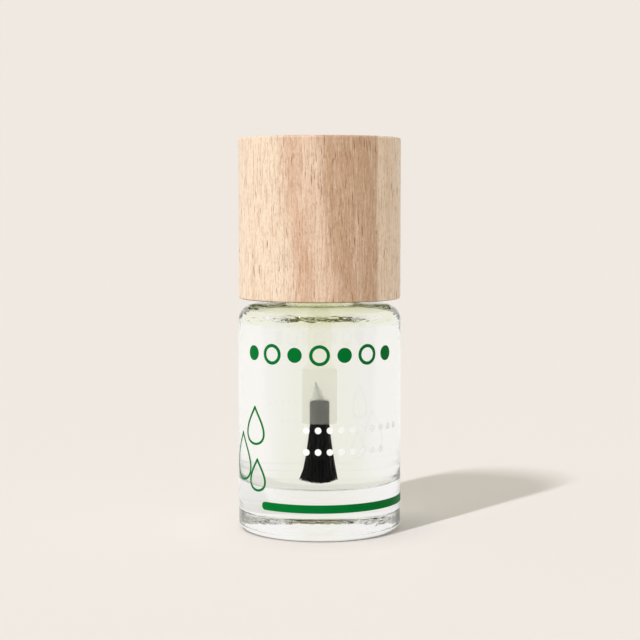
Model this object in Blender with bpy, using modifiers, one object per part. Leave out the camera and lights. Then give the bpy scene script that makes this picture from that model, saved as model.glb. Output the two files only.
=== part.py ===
"""Cuticle oil bottle with a turned wooden cap and a brush, at real size in metres.

The bottle stands on the plane Z = 0 with its axis on Z, and its front faces -Y. The cap unscrews
about +Z and then lifts off along +Z with the brush. Every piece has its origin on that axis.
"""

import math

import bmesh
import bpy
from mathutils import Matrix, Vector

# Glass bottle
BOTTLE_DIAMETER = 0.0280
BOTTLE_HEIGHT = 0.0389
SHOULDER_FALL = 0.0001
SHOULDER_RADIUS = 0.0030
HEEL_RADIUS = 0.0014
WALL_THICKNESS = 0.0023
SHOULDER_THICKNESS = 0.0028
CEILING_RADIUS = 0.0012
FLOOR_THICKNESS = 0.0075
FLOOR_RISE = 0.0008
FLOOR_RADIUS = 0.0028
PUNT_DIAMETER = 0.0204
PUNT_DEPTH = 0.0009

# Neck of the bottle, a 13-415 finish whose thread is a surface detail
NECK_DIAMETER = 0.0115
NECK_HEIGHT = 0.0111
NECK_BORE = 0.0060
NECK_FOOT_RADIUS = 0.0005
NECK_THROAT_RADIUS = 0.0008
LIP_OUTER_RADIUS = 0.0007
LIP_INNER_RADIUS = 0.0005

# Oil, filled into the foot of the neck
OIL_IN_NECK = 0.0006
OIL_CLEARANCE = 0.0003

# Wooden overcap, a little slimmer than the bottle all round
CAP_SETBACK = 0.00015
CAP_HEIGHT = 0.0274
CAP_OVER_SHOULDER = 0.0008
CAP_CROWN_RADIUS = 0.0005
CAP_FOOT_RADIUS = 0.0004
CAP_MOUTH_CHAMFER = 0.0005
CAP_BORE_CLEARANCE = 0.0003

# Screw insert, pressed into the overcap by its ribs
THREAD_ROOM = 0.0009
INSERT_WALL = 0.0013
INSERT_RECESS = 0.0007
INSERT_ROOF = 0.0012
INSERT_EDGE_RADIUS = 0.0004
INSERT_LEAD_IN = 0.0005
RIB_HEIGHT = 0.00045
RIB_WIDTH = 0.0009
RIB_STEP_DOWN = 0.0010
BOSS_WALL = 0.0012

# Sealing washer between the lip and the flange
SEAT_GAP = 0.0003
WASHER_THICKNESS = 0.0010
WASHER_CLEARANCE = 0.0003
WASHER_EDGE_RADIUS = 0.0002

# Brush stem: stud, flange, collar, rod and socket
STUD_DIAMETER = 0.0034
STUD_LENGTH = 0.0032
STUD_BARB = 0.0002
FLANGE_THICKNESS = 0.0009
FLANGE_EDGE_RADIUS = 0.0002
COLLAR_DIAMETER = 0.0042
COLLAR_TAPER = 0.0015
ROD_DIAMETER = 0.00275
SOCKET_DIAMETER = 0.0041
SOCKET_LENGTH = 0.0092
SOCKET_TAPER = 0.0013
SOCKET_MOUTH_RADIUS = 0.0002
TUFT_BORE = 0.00250
TUFT_BORE_DEPTH = 0.0042
TUFT_BORE_CONE = 0.0030

# Bristle tuft, held in the socket by a flat wire through its fold
TUFT_LENGTH = 0.01045
TUFT_TIP_DIAMETER = 0.0041
TUFT_TIP_DOME = 0.0009
TUFT_OVER_FLOOR = 0.00065
TUFT_CLEARANCE = 0.0001
FOLD_THICKNESS = 0.0016
FOLD_EDGE_RADIUS = 0.0001
WIRE_THICKNESS = 0.0003
WIRE_HEIGHT = 0.0006
WIRE_CLEARANCE = 0.0001
WIRE_EDGE_RADIUS = 0.00006

# Counts and shares
BRISTLE_COUNT = 300
RIB_COUNT = 24
TURN_SIDES = 48
BRISTLE_RADIUS_share = 0.40
BRISTLE_LEVEL_shares = (0.0, 0.55, 1.0)
FLARE_POWER = 1.15
BOWL_shares = (0.0, 0.35, 0.7)
ARC_STEP = math.radians(22.5)
SMALL_ARC_STEP = math.radians(45)
SMALL_RADIUS = 0.0008
SMOOTH_ANGLE = math.radians(35)
GOLDEN_ANGLE = math.pi * (3 - math.sqrt(5))

# Cuts run this far past the face that they open, and points closer than the weld are one
CUT_OVERRUN = 0.0004
WELD = 0.0000001

# Heights that the pieces share
LIP_HEIGHT = BOTTLE_HEIGHT + NECK_HEIGHT
CEILING_HEIGHT = BOTTLE_HEIGHT - SHOULDER_THICKNESS
FLOOR_RIM = FLOOR_THICKNESS + FLOOR_RISE
OIL_LEVEL = BOTTLE_HEIGHT + OIL_IN_NECK
WASHER_FOOT = LIP_HEIGHT + SEAT_GAP
FLANGE_FOOT = WASHER_FOOT + WASHER_THICKNESS + SEAT_GAP
FLANGE_TOP = FLANGE_FOOT + FLANGE_THICKNESS
STUD_TOP = FLANGE_TOP + STUD_LENGTH
ROOF_FOOT = FLANGE_TOP + SEAT_GAP
ROOF_TOP = ROOF_FOOT + INSERT_ROOF
BOSS_TOP = STUD_TOP + SEAT_GAP + INSERT_ROOF
CAP_FOOT = BOTTLE_HEIGHT + CAP_OVER_SHOULDER
INSERT_FOOT = CAP_FOOT + INSERT_RECESS
TUFT_TIP = FLOOR_THICKNESS + TUFT_OVER_FLOOR
SOCKET_MOUTH = TUFT_TIP + TUFT_LENGTH
TUFT_BORE_TOP = SOCKET_MOUTH + TUFT_BORE_DEPTH
FOLD_TOP = TUFT_BORE_TOP - TUFT_CLEARANCE
FOLD_FOOT = FOLD_TOP - FOLD_THICKNESS
WIRE_CENTRE = (FOLD_TOP + FOLD_FOOT) / 2

# Radii that the pieces share
BOTTLE_RADIUS = BOTTLE_DIAMETER / 2
INNER_RADIUS = BOTTLE_RADIUS - WALL_THICKNESS
CAP_RADIUS = BOTTLE_RADIUS - CAP_SETBACK
NECK_RADIUS = NECK_DIAMETER / 2
INSERT_INNER_RADIUS = NECK_RADIUS + THREAD_ROOM
INSERT_RADIUS = INSERT_INNER_RADIUS + INSERT_WALL
WASHER_RADIUS = INSERT_INNER_RADIUS - WASHER_CLEARANCE
STUD_RADIUS = STUD_DIAMETER / 2
STUD_BORE_RADIUS = STUD_RADIUS + STUD_BARB + SEAT_GAP
BOSS_RADIUS = STUD_BORE_RADIUS + BOSS_WALL
CAP_BORE_RADIUS = INSERT_RADIUS + RIB_HEIGHT + CAP_BORE_CLEARANCE
TUFT_BORE_RADIUS = TUFT_BORE / 2
TUFT_RADIUS = TUFT_BORE_RADIUS - TUFT_CLEARANCE
BRUSH_RADIUS = max(SOCKET_DIAMETER, TUFT_TIP_DIAMETER) / 2

# Finishes: name, colour, roughness, metallic, transmission and index of refraction
CLEAR_GLASS = ("clear_glass", (0.96, 0.98, 0.96, 1), 0.02, 0.0, 1.0, 1.52)
PALE_OIL = ("pale_oil", (0.95, 0.96, 0.86, 1), 0.0, 0.0, 1.0, 1.47)
BEECH = ("oiled_beech", (0.72, 0.53, 0.38, 1), 0.55, 0.0, 0.0, 1.5)
WHITE_PLASTIC = ("white_plastic", (0.86, 0.86, 0.83, 1), 0.35, 0.0, 0.0, 1.5)
SOFT_FOAM = ("soft_foam", (0.80, 0.80, 0.78, 1), 0.7, 0.0, 0.0, 1.5)
CLOUDY_PLASTIC = ("cloudy_plastic", (0.83, 0.85, 0.82, 1), 0.4, 0.0, 0.5, 1.5)
BLACK_NYLON = ("black_nylon", (0.008, 0.008, 0.009, 1), 0.35, 0.0, 0.0, 1.53)
BRIGHT_WIRE = ("bright_wire", (0.70, 0.66, 0.58, 1), 0.3, 1.0, 0.0, 1.5)


def clear_scene():
    for item in list(bpy.data.objects):
        bpy.data.objects.remove(item, do_unlink=True)


def new_collection(name, hidden=False):
    group = bpy.data.collections.new(name)
    group.hide_render = hidden
    bpy.context.scene.collection.children.link(group)
    return group


def material_of(finish):
    name, colour, roughness, metallic, transmission, index = finish
    material = bpy.data.materials.get(name) or bpy.data.materials.new(name)
    material.use_nodes = True
    material.diffuse_color = colour
    shader = material.node_tree.nodes["Principled BSDF"]
    shader.inputs["Base Color"].default_value = colour
    shader.inputs["Roughness"].default_value = roughness
    shader.inputs["Metallic"].default_value = metallic
    shader.inputs["Transmission Weight"].default_value = transmission
    shader.inputs["IOR"].default_value = index
    return material


def fillet(before, corner, after, radius):
    """Points of the arc of this radius that touches both sides of a corner."""
    back = (before - corner).normalized()
    ahead = (after - corner).normalized()
    half_angle = back.angle(ahead) / 2
    start = corner + back * radius / math.tan(half_angle)
    centre = corner + (back + ahead).normalized() * radius / math.sin(half_angle)
    turn = math.pi - 2 * half_angle
    steps = math.ceil(turn / (ARC_STEP if radius > SMALL_RADIUS else SMALL_ARC_STEP))
    spoke = start - centre
    side = math.copysign(1, spoke.x * back.y - spoke.y * back.x)
    return [
        centre + Matrix.Rotation(-side * turn * step / steps, 2) @ spoke
        for step in range(steps + 1)
    ]


def rounded(corners, closed=False):
    """Outline through corners of (radius, height) or (radius, height, fillet radius)."""
    places = [Vector(corner[:2]) for corner in corners]
    outline = []
    for index, corner in enumerate(corners):
        if len(corner) == 2:
            outline.append(places[index])
            continue
        before = places[index - 1]
        after = places[(index + 1) % len(places)]
        outline.extend(fillet(before, places[index], after, corner[2]))
    return outline + outline[:1] if closed else outline


def bowl(radius, centre, rim):
    """Corners from the centre of a shallow bowl towards its rim, rising as the square of the radius."""
    return [(radius * share, centre + (rim - centre) * share * share) for share in BOWL_shares]


def add_piece(name, mesh, finish, group):
    piece = bpy.data.objects.new(name, mesh)
    if finish:
        mesh.materials.clear()
        mesh.materials.append(material_of(finish))
    group.objects.link(piece)
    return piece


def settled(piece):
    """The piece with its modifiers worked into its mesh, and shaded smooth up to its edges."""
    bpy.context.view_layer.update()
    graph = bpy.context.evaluated_depsgraph_get()
    mesh = bpy.data.meshes.new_from_object(piece.evaluated_get(graph))
    plain = piece.data
    piece.modifiers.clear()
    piece.data = mesh
    mesh.name = piece.name
    bpy.data.meshes.remove(plain)
    mesh.shade_smooth()
    mesh.set_sharp_from_angle(angle=SMOOTH_ANGLE)
    return piece


def turned(name, outline, finish, group, sides=TURN_SIDES):
    """A piece turned about Z from an outline that runs down its outer side."""
    profile = bpy.data.meshes.new(name)
    points = [(point.x, 0, point.y) for point in outline]
    edges = [(index, index + 1) for index in range(len(points) - 1)]
    profile.from_pydata(points, edges, [])
    piece = add_piece(name, profile, finish, group)
    screw = piece.modifiers.new("Turn", "SCREW")
    screw.axis = "Z"
    screw.steps = sides
    screw.render_steps = sides
    screw.use_merge_vertices = True
    screw.merge_threshold = WELD
    ends = piece.modifiers.new("Close", "WELD")
    ends.merge_threshold = WELD
    return settled(piece)


def boolean(piece, other, operation):
    cut = piece.modifiers.new(operation.title(), "BOOLEAN")
    cut.operation = operation
    cut.solver = "EXACT"
    cut.object = other
    other.hide_render = True
    other.display_type = "WIRE"


def make_bottle(group):
    """Thick walls on a heavy floor, with a punt under it, a rounded heel and shoulder, and a neck."""
    bore = NECK_BORE / 2
    punt = PUNT_DIAMETER / 2
    corners = [
        *bowl(INNER_RADIUS, FLOOR_THICKNESS, FLOOR_RIM),
        (INNER_RADIUS, FLOOR_RIM, FLOOR_RADIUS),
        (INNER_RADIUS, CEILING_HEIGHT, CEILING_RADIUS),
        (bore, CEILING_HEIGHT + SHOULDER_FALL, NECK_THROAT_RADIUS),
        (bore, LIP_HEIGHT, LIP_INNER_RADIUS),
        (NECK_RADIUS, LIP_HEIGHT, LIP_OUTER_RADIUS),
        (NECK_RADIUS, BOTTLE_HEIGHT, NECK_FOOT_RADIUS),
        (BOTTLE_RADIUS, BOTTLE_HEIGHT - SHOULDER_FALL, SHOULDER_RADIUS),
        (BOTTLE_RADIUS, 0, HEEL_RADIUS),
        (punt, 0),
        *reversed(bowl(punt, PUNT_DEPTH, 0)),
    ]
    return turned("glass_bottle", rounded(corners), CLEAR_GLASS, group)


def make_oil(group):
    """The oil between the glass and the well in which the brush stands, open at both ends."""
    outer = INNER_RADIUS - OIL_CLEARANCE
    well = BRUSH_RADIUS + OIL_CLEARANCE
    foot = FLOOR_THICKNESS + OIL_CLEARANCE
    rim = FLOOR_RIM + OIL_CLEARANCE
    neck = NECK_BORE / 2 - OIL_CLEARANCE
    ceiling = CEILING_HEIGHT - OIL_CLEARANCE
    corners = [
        (neck, OIL_LEVEL),
        (neck, ceiling + SHOULDER_FALL, NECK_THROAT_RADIUS + OIL_CLEARANCE),
        (outer, ceiling, CEILING_RADIUS - OIL_CLEARANCE),
        (outer, rim, FLOOR_RADIUS - OIL_CLEARANCE),
        *reversed(bowl(outer, foot, rim)[1:]),
        (well, foot + FLOOR_RISE * (well / outer) ** 2),
        (well, OIL_LEVEL),
    ]
    return turned("cuticle_oil", rounded(corners, closed=True), PALE_OIL, group)


def make_overcap(group):
    """A turned wooden shell, bored once for the insert and once more for the boss on its roof."""
    top = CAP_FOOT + CAP_HEIGHT
    boss = BOSS_RADIUS + CAP_BORE_CLEARANCE
    corners = [
        (0, top),
        (CAP_RADIUS, top, CAP_CROWN_RADIUS),
        (CAP_RADIUS, CAP_FOOT, CAP_FOOT_RADIUS),
        (CAP_BORE_RADIUS + CAP_MOUTH_CHAMFER, CAP_FOOT),
        (CAP_BORE_RADIUS, CAP_FOOT + CAP_MOUTH_CHAMFER),
        (CAP_BORE_RADIUS, ROOF_TOP + CAP_BORE_CLEARANCE),
        (boss, ROOF_TOP + CAP_BORE_CLEARANCE),
        (boss, BOSS_TOP + CAP_BORE_CLEARANCE),
        (0, BOSS_TOP + CAP_BORE_CLEARANCE),
    ]
    return turned("wooden_overcap", rounded(corners), BEECH, group)


def make_ribs(group):
    """Round-backed ribs that stand on the insert's shell, each a post sunk into the wall."""
    foot = INSERT_FOOT + RIB_STEP_DOWN
    top = ROOF_TOP - RIB_STEP_DOWN
    radius = RIB_WIDTH / 2
    reach = INSERT_RADIUS + RIB_HEIGHT - radius
    cage = bmesh.new()
    for index in range(RIB_COUNT):
        turn = Matrix.Rotation(math.tau * index / RIB_COUNT, 4, "Z")
        place = Matrix.Translation((reach, 0, (foot + top) / 2))
        bmesh.ops.create_cone(
            cage, cap_ends=True, segments=8, radius1=radius, radius2=radius,
            depth=top - foot, matrix=turn @ place,
        )
    mesh = bpy.data.meshes.new("rib_posts")
    cage.to_mesh(mesh)
    cage.free()
    return add_piece("rib_posts", mesh, None, group)


def make_insert(group, helpers):
    """A ribbed cup that grips the wood and carries the thread, with a boss for the stem's stud."""
    corners = [
        (0, BOSS_TOP),
        (BOSS_RADIUS, BOSS_TOP, INSERT_EDGE_RADIUS),
        (BOSS_RADIUS, ROOF_TOP),
        (INSERT_RADIUS, ROOF_TOP, INSERT_EDGE_RADIUS),
        (INSERT_RADIUS, INSERT_FOOT),
        (INSERT_INNER_RADIUS + INSERT_LEAD_IN, INSERT_FOOT),
        (INSERT_INNER_RADIUS, INSERT_FOOT + INSERT_LEAD_IN),
        (INSERT_INNER_RADIUS, ROOF_FOOT),
        (STUD_BORE_RADIUS, ROOF_FOOT),
        (STUD_BORE_RADIUS, STUD_TOP + SEAT_GAP),
        (0, STUD_TOP + SEAT_GAP),
    ]
    insert = turned("screw_insert", rounded(corners), WHITE_PLASTIC, group)
    boolean(insert, make_ribs(helpers), "UNION")
    return settled(insert)


def make_washer(group):
    """A soft ring that lies between the lip of the neck and the flange of the stem."""
    inner = COLLAR_DIAMETER / 2 + WASHER_CLEARANCE
    top = WASHER_FOOT + WASHER_THICKNESS
    corners = [
        (WASHER_RADIUS, top, WASHER_EDGE_RADIUS),
        (WASHER_RADIUS, WASHER_FOOT, WASHER_EDGE_RADIUS),
        (inner, WASHER_FOOT),
        (inner, top),
    ]
    return turned("sealing_washer", rounded(corners, closed=True), SOFT_FOAM, group)


def make_stem(group):
    """Stud, flange, collar, slim rod and a thicker socket, drilled from below to a long cone."""
    rod = ROD_DIAMETER / 2
    collar = COLLAR_DIAMETER / 2
    socket = SOCKET_DIAMETER / 2
    barb_top = STUD_TOP - SEAT_GAP
    barb_foot = barb_top - SEAT_GAP
    socket_top = SOCKET_MOUTH + SOCKET_LENGTH
    corners = [
        (0, STUD_TOP),
        (STUD_RADIUS, STUD_TOP),
        (STUD_RADIUS + STUD_BARB, barb_top),
        (STUD_RADIUS + STUD_BARB, barb_foot),
        (STUD_RADIUS, barb_foot - STUD_BARB),
        (STUD_RADIUS, FLANGE_TOP),
        (WASHER_RADIUS, FLANGE_TOP, FLANGE_EDGE_RADIUS),
        (WASHER_RADIUS, FLANGE_FOOT, FLANGE_EDGE_RADIUS),
        (collar, FLANGE_FOOT),
        (collar, WASHER_FOOT),
        (rod, WASHER_FOOT - COLLAR_TAPER),
        (rod, socket_top + SOCKET_TAPER),
        (socket, socket_top),
        (socket, SOCKET_MOUTH, SOCKET_MOUTH_RADIUS),
        (TUFT_BORE_RADIUS, SOCKET_MOUTH),
        (TUFT_BORE_RADIUS, TUFT_BORE_TOP),
        (0, TUFT_BORE_TOP + TUFT_BORE_CONE),
    ]
    return turned("brush_stem", rounded(corners), CLOUDY_PLASTIC, group, TURN_SIDES // 2)


def make_box(name, size, centre, finish, group):
    cage = bmesh.new()
    bmesh.ops.create_cube(cage, size=1)
    bmesh.ops.scale(cage, vec=size, verts=cage.verts)
    bmesh.ops.translate(cage, vec=centre, verts=cage.verts)
    mesh = bpy.data.meshes.new(name)
    cage.to_mesh(mesh)
    cage.free()
    return add_piece(name, mesh, finish, group)


def make_wire(group):
    """The flat wire that the bristles are folded over, across the bore of the socket."""
    length = 2 * (TUFT_BORE_RADIUS - WIRE_CLEARANCE)
    size = (length, WIRE_THICKNESS, WIRE_HEIGHT)
    wire = make_box("tuft_anchor", size, (0, 0, WIRE_CENTRE), BRIGHT_WIRE, group)
    edges = wire.modifiers.new("Edges", "BEVEL")
    edges.width = WIRE_EDGE_RADIUS
    edges.segments = 2
    return settled(wire)


def bristle_path(index, packed_radius):
    """One bristle: straight in the socket, then leaning out to a domed tip."""
    share = math.sqrt((index + 0.5) / BRISTLE_COUNT)
    angle = index * GOLDEN_ANGLE
    spread = TUFT_TIP_DIAMETER / 2 / TUFT_RADIUS - 1
    tip = TUFT_TIP + TUFT_TIP_DOME * share * share
    levels = [((FOLD_FOOT + WIRE_CENTRE - WIRE_HEIGHT / 2 - WIRE_CLEARANCE) / 2, 1)]
    for level in BRISTLE_LEVEL_shares:
        height = SOCKET_MOUTH + (tip - SOCKET_MOUTH) * level
        levels.append((height, 1 + spread * level ** FLARE_POWER))
    return [
        (
            packed_radius * share * scale * math.cos(angle),
            packed_radius * share * scale * math.sin(angle),
            height,
        )
        for height, scale in levels
    ]


def make_bristles(helpers):
    """The bristles, laid out as seeds in a sunflower, so that they stand evenly apart."""
    spacing = TUFT_RADIUS * math.sqrt(math.pi / BRISTLE_COUNT)
    thickness = spacing * BRISTLE_RADIUS_share
    section = bpy.data.curves.new("bristle_section", "CURVE")
    section.dimensions = "2D"
    rim = section.splines.new("POLY")
    rim.points.add(2)
    rim.use_cyclic_u = True
    for corner, point in enumerate(rim.points):
        angle = math.tau * corner / len(rim.points)
        point.co = (thickness * math.cos(angle), thickness * math.sin(angle), 0, 1)
    guide = bpy.data.objects.new("bristle_section", section)
    guide.hide_render = True
    helpers.objects.link(guide)

    curve = bpy.data.curves.new("bristles", "CURVE")
    curve.dimensions = "3D"
    curve.bevel_mode = "OBJECT"
    curve.bevel_object = guide
    curve.use_fill_caps = True
    for index in range(BRISTLE_COUNT):
        path = bristle_path(index, TUFT_RADIUS - thickness)
        spline = curve.splines.new("POLY")
        spline.points.add(len(path) - 1)
        for point, place in zip(spline.points, path):
            point.co = (*place, 1)
    drawn = bpy.data.objects.new("bristle_curves", curve)
    helpers.objects.link(drawn)
    bpy.context.view_layer.update()
    graph = bpy.context.evaluated_depsgraph_get()
    mesh = bpy.data.meshes.new_from_object(drawn.evaluated_get(graph))
    bpy.data.objects.remove(drawn)
    cage = bmesh.new()
    cage.from_mesh(mesh)
    bmesh.ops.remove_doubles(cage, verts=cage.verts, dist=WELD)
    bmesh.ops.recalc_face_normals(cage, faces=cage.faces)
    cage.to_mesh(mesh)
    cage.free()
    return add_piece("bristle_posts", mesh, None, helpers)


def make_tuft(group, helpers):
    """Bristles fused to a slice of their fold, which the flat wire passes through."""
    corners = [
        (0, FOLD_TOP),
        (TUFT_RADIUS, FOLD_TOP, FOLD_EDGE_RADIUS),
        (TUFT_RADIUS, FOLD_FOOT),
        (0, FOLD_FOOT),
    ]
    tuft = turned("brush_tuft", rounded(corners), BLACK_NYLON, group, TURN_SIDES // 2)
    slot = (
        2 * (TUFT_RADIUS + CUT_OVERRUN),
        WIRE_THICKNESS + 2 * WIRE_CLEARANCE,
        WIRE_HEIGHT + 2 * WIRE_CLEARANCE,
    )
    boolean(tuft, make_box("wire_slot", slot, (0, 0, WIRE_CENTRE), None, helpers), "DIFFERENCE")
    boolean(tuft, make_bristles(helpers), "UNION")
    return settled(tuft)


def add_axis(name, group, parent=None):
    """An empty on the axis of the bottle, level with the lip, that carries what moves on it."""
    axis = bpy.data.objects.new(name, None)
    axis.location = (0, 0, LIP_HEIGHT)
    group.objects.link(axis)
    bpy.context.view_layer.update()
    if parent:
        carry(parent, axis)
    return axis


def carry(axis, *pieces):
    for piece in pieces:
        piece.parent = axis
        piece.matrix_parent_inverse = axis.matrix_world.inverted()
    bpy.context.view_layer.update()


def main():
    clear_scene()
    group = new_collection("cuticle_oil_bottle")
    helpers = new_collection("cutters", hidden=True)
    make_bottle(group)
    make_oil(group)
    washer = make_washer(group)
    closure = [
        make_overcap(group),
        make_insert(group, helpers),
        make_stem(group),
        make_wire(group),
        make_tuft(group, helpers),
    ]
    lift = add_axis("cap_lift_axis", group)
    turn = add_axis("cap_turn_axis", group, lift)
    carry(lift, washer)
    carry(turn, *closure)


main()
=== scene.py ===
"""Cuticle oil bottle: the looks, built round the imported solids, in metres, front towards -Y."""

import math

import bpy
import numpy as np
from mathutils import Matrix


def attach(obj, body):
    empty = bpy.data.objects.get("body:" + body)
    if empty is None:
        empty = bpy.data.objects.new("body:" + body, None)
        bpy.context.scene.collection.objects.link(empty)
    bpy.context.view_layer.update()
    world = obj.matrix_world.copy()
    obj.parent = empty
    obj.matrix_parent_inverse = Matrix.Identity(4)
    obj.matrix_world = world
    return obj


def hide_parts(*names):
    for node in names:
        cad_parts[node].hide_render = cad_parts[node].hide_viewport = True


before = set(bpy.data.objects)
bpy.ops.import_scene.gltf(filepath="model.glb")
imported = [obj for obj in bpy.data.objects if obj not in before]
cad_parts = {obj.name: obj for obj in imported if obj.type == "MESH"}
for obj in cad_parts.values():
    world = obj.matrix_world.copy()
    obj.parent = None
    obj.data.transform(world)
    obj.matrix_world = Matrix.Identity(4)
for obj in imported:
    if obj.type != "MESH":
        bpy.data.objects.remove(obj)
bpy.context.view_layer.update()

MM = 0.001

# Glass bottle, in millimetres
BODY_RADIUS = 13.97
BODY_HEIGHT = 38.9
SHOULDER_FALL = 0.1
SHOULDER_RADIUS = 3.0
HEEL_RADIUS = 1.4
INNER_RADIUS = 11.7
CEILING = 36.1
CEILING_RADIUS = 1.2
FLOOR_CENTRE = 7.5
FLOOR_RIM = 8.3
FLOOR_RADIUS = 2.8
PUNT_RADIUS = 10.2
PUNT_DEPTH = 0.9
BOWL_SHARE = 0.78
NECK_RADIUS = 5.75
NECK_BORE = 3.0
NECK_FOOT_RADIUS = 0.5
THROAT_RADIUS = 0.8
LIP = 50.0
LIP_OUTER_RADIUS = 0.7
LIP_INNER_RADIUS = 0.5
CONTACT_RING_RIBS = 64
CONTACT_RING_DEPTH = 0.05

# Screw thread between the neck and the insert, in millimetres
PITCH = 2.117
NECK_THREAD_HEIGHT = 0.62
NECK_THREAD_FOOT = 43.5
INSERT_THREAD_HEIGHT = 0.6
INSERT_THREAD_FOOT = 42.4

# Oil, in millimetres
OIL_LEVEL = 39.5
OIL_CONTACT = 39.8
OIL_OVERLAP = 0.03
STEM_CLIMB = 0.35
CLIMB_FADE = 0.4

# Cap, insert, washer and stem, in millimetres
FIT_GAP = 0.3
CAP_RADIUS = 13.85
CAP_FOOT = 39.7
CAP_TOP = 67.1
CAP_CROWN_RADIUS = 0.5
CAP_FOOT_RADIUS = 0.4
CAP_BORE = 8.7
INSERT_INNER = 6.65
INSERT_SHELL = 7.95
INSERT_FOOT = 40.4
ROOF_FOOT = 52.8
ROOF_TOP = 54.0
BOSS_RADIUS = 3.4
BOSS_TOP = 57.2
RIB_COUNT = 24
RIB_HEIGHT = 0.45
RIB_HALF_WIDTH = 0.45
WASHER_FOOT = 50.3
WASHER_TOP = 51.3
WASHER_RADIUS = 6.35
WASHER_BORE = 2.4
WASHER_DENT = 0.08
STUD_RADIUS = 1.7
STUD_RIDGE_RADIUS = 1.9
STUD_BORE = 2.2
STUD_TOP = 55.7
FLANGE_FOOT = 51.6
FLANGE_TOP = 52.5
COLLAR_RADIUS = 2.1
ROD_RADIUS = 1.375
SOCKET_RADIUS = 2.05
SOCKET_TOP = 27.8
SOCKET_MOUTH = 18.6

# Tuft, its fold over the wire and the hollow above it, in millimetres
TUFT_BORE = 1.25
VOID_FOOT = 22.8
VOID_TIP = 25.8
VOID_RADIUS = 0.86
VOID_SKEW = -0.5
TUFT_TIP = 8.15
TUFT_RADIUS = 1.15
TUFT_TIP_RADIUS = 2.02
TIP_DOME = 0.75
FLARE_POWER = 1.15
LEFT_BEND = 0.22
WIRE_TOP = 22.2
HAIRPINS = 350
STRAY_SHARE = 0.035
BRISTLE_RADIUS = 0.038

# Print, in millimetres, half sunk in the glass
PRINT_FACE = 14.0
PRINT_BACK = 13.94
STRIPE_START = -10.6
STRIPE_END = 31.0
STRIPE_HEIGHT = 5.6
STRIPE_WIDTH = 1.38
SPOT_ROW_HEIGHT = 31.1
SPOT_ROW_REACH = 12.6
SPOT_COUNT = 7
DISC_RADIUS = 1.25
RING_RADIUS = 1.45
RING_LINE = 0.55
DROP_LINE = 0.40
# Along the glass, height and size of each drop
DROPS = ((-12.4, 18.9, 5.0), (-16.5, 13.3, 6.4), (-11.8, 10.6, 4.2))
DOT_RADIUS = 0.55
DOT_ROW_START = -2.2
# Height, end and number of dots of each row
DOT_ROWS = ((18.7, 15.4, 10), (15.1, 11.5, 8))


def rounded(corners, arc_step=7.5):
    """Outline through (radius, height) corners in millimetres; a third number rounds a corner with
    an arc that touches both of its sides, in steps of arc_step degrees."""
    places = np.array([corner[:2] for corner in corners], float)
    outline = []
    for index, corner in enumerate(corners):
        place = places[index]
        if len(corner) == 2:
            outline.append(place[None])
            continue
        back = places[index - 1] - place
        ahead = places[(index + 1) % len(places)] - place
        back = back / np.linalg.norm(back)
        ahead = ahead / np.linalg.norm(ahead)
        half_angle = math.acos(np.clip(back @ ahead, -1, 1)) / 2
        spoke_start = place + back * corner[2] / math.tan(half_angle)
        middle = (back + ahead) / np.linalg.norm(back + ahead)
        centre = place + middle * corner[2] / math.sin(half_angle)
        spoke = spoke_start - centre
        turn = math.pi - 2 * half_angle
        steps = max(3, math.ceil(math.degrees(turn) / arc_step))
        side = math.copysign(1, spoke[0] * back[1] - spoke[1] * back[0])
        angle = -side * turn * np.arange(steps + 1) / steps
        turned = np.stack([
            spoke[0] * np.cos(angle) - spoke[1] * np.sin(angle),
            spoke[0] * np.sin(angle) + spoke[1] * np.cos(angle),
        ], axis=1)
        outline.append(centre + turned)
    return np.vstack(outline)


def densify(points, spacing):
    """The outline with its sides cut in equal steps of at most spacing, a number or one a side."""
    start, end = points[:-1], points[1:]
    length = np.linalg.norm(end - start, axis=1)
    counts = np.maximum(1, np.ceil(length / spacing)).astype(int)
    side = np.repeat(np.arange(len(start)), counts)
    step = np.arange(counts.sum()) - np.repeat(np.cumsum(counts) - counts, counts)
    share = (step / counts[side])[:, None]
    return np.vstack([start[side] * (1 - share) + end[side] * share, points[-1:]])


def turned_grid(outline, sides):
    """Radius, height and angle grids of an outline turned about Z."""
    angle = np.linspace(0, math.tau, sides, endpoint=False)[None, :]
    radius = outline[:, :1] + 0 * angle
    height = outline[:, 1:] + 0 * angle
    return radius, height, angle + 0 * radius


def placed(radius, height, angle):
    """Points in metres at radius * (cos, sin) of the angle, and height."""
    return np.stack([radius * np.cos(angle), radius * np.sin(angle), height], axis=-1) * MM


def shell_faces(points, closed):
    """Corner numbers of a (shells, rows, columns) grid. Columns close on themselves; rows close
    too, or each end row is one point. A grid whose signed volume, the sum of a . (b x c) over its
    triangles, is negative is turned right side out."""
    number = np.arange(points[..., 0].size).reshape(points.shape[:3])
    if not closed:
        number[:, 0] = number[:, 0, :1]
        number[:, -1] = number[:, -1, :1]
    beside = np.roll(number, -1, axis=2)
    if closed:
        above = [np.roll(beside, -1, axis=1), np.roll(number, -1, axis=1)]
        faces = np.stack([number, beside, *above], axis=-1)
    else:
        faces = np.stack([number[:, :-1], beside[:, :-1], beside[:, 1:], number[:, 1:]], axis=-1)
    a, b, c, d = (points.reshape(-1, 3)[faces[..., corner]] for corner in range(4))
    volume = (a * np.cross(b, c)).sum() + (a * np.cross(c, d)).sum()
    return faces if volume > 0 else faces[..., ::-1]


def add_object(name, data):
    made = bpy.data.objects.new(name, data)
    bpy.context.scene.collection.objects.link(made)
    return made


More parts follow.
